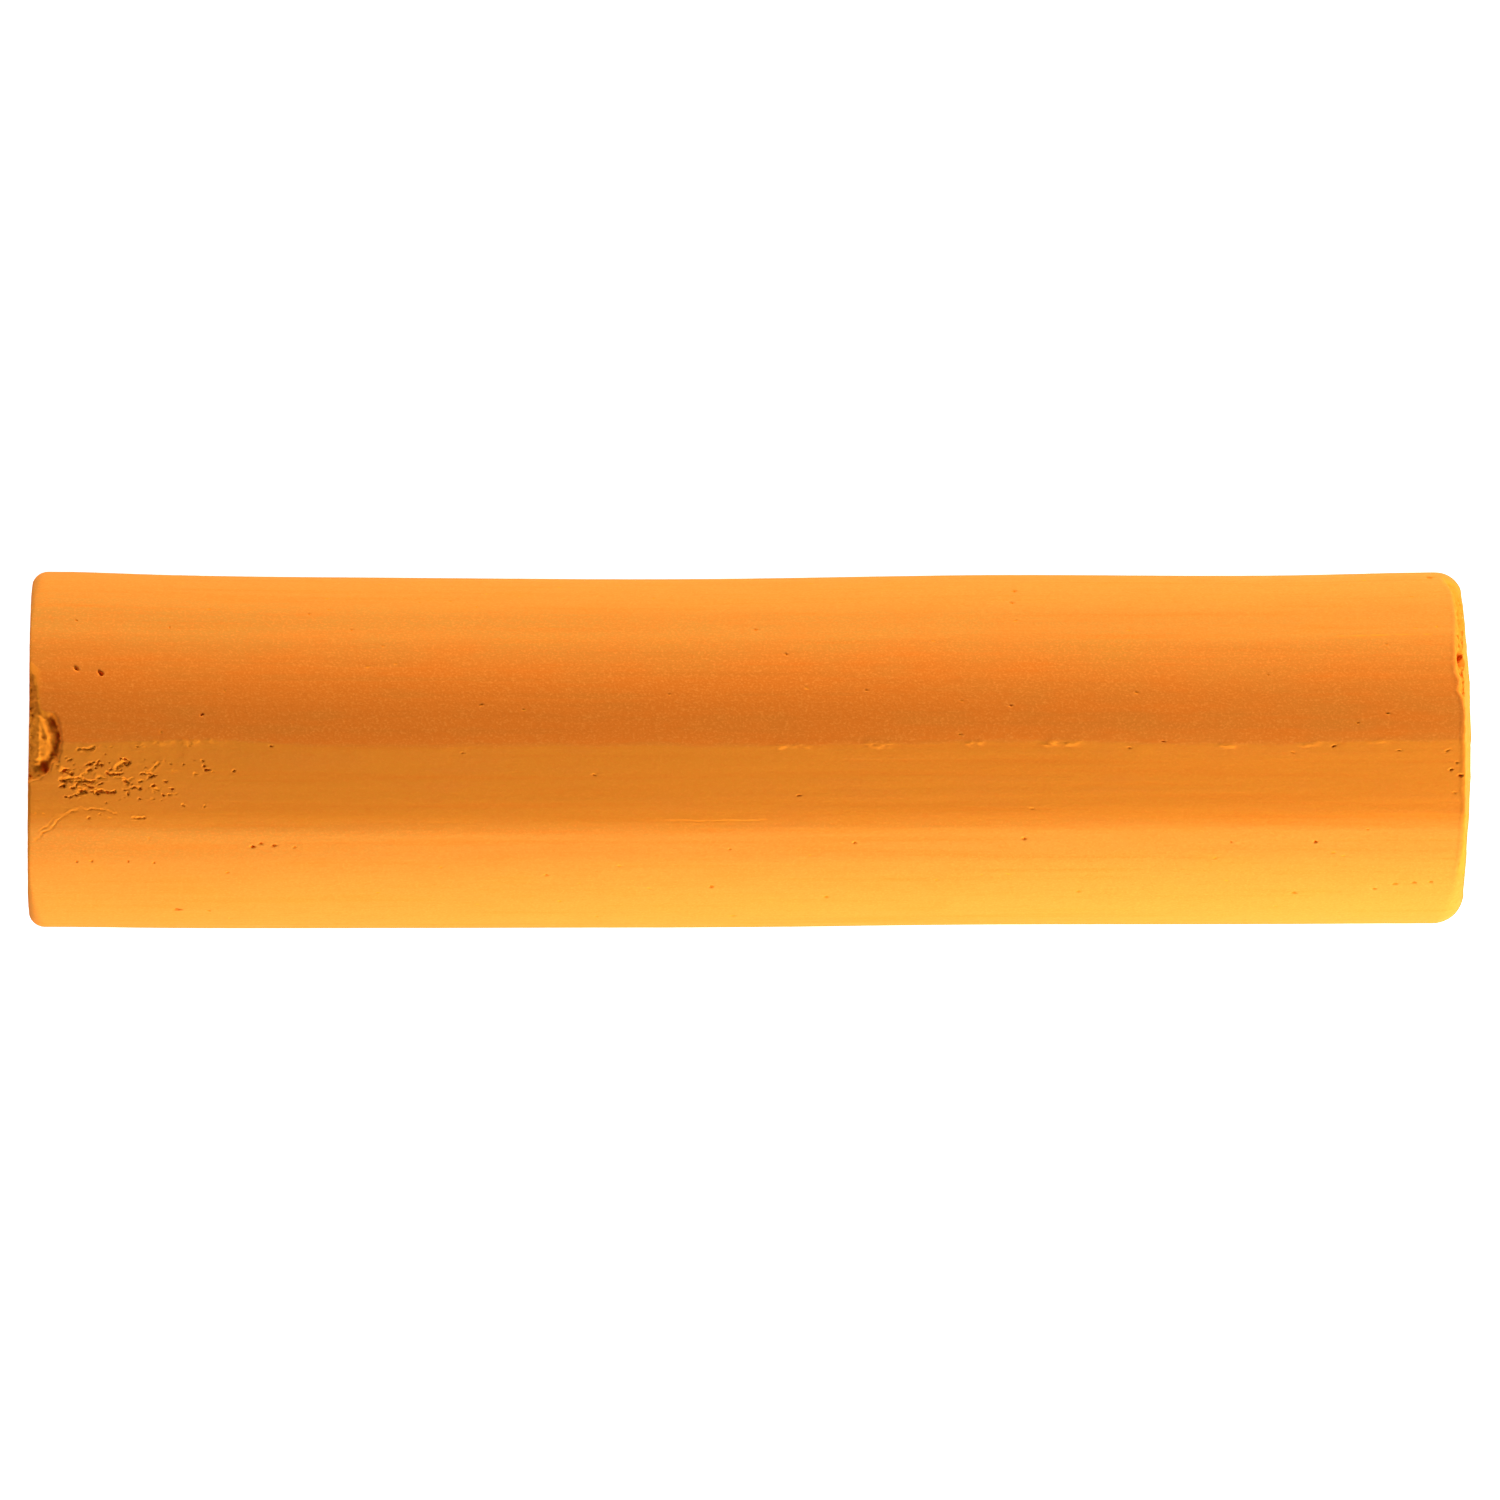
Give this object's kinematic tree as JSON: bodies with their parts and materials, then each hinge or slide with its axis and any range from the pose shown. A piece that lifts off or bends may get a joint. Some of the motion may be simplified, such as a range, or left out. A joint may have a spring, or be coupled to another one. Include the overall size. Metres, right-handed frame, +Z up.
{
  "type": "soft pastel stick",
  "caption": "Round pressed pastel stick with a flat strip along its top, one crumbled end and one rounded end.",
  "frame": {"origin": "middle of the flat that the stick lies on", "axes": "+X along the stick, from the crumbled end to the sound end; +Z up, away from the surface it lies on; +Y across it, away from the lean of the flat strip"},
  "size_m": [0.0616, 0.015, 0.0148],
  "materials": {
    "orange_pastel": "dry, matte and powdery pressed pigment and chalk"
  },
  "bodies": {
    "root": {"pastel_stick": "orange_pastel"}
  },
  "joints": []
}
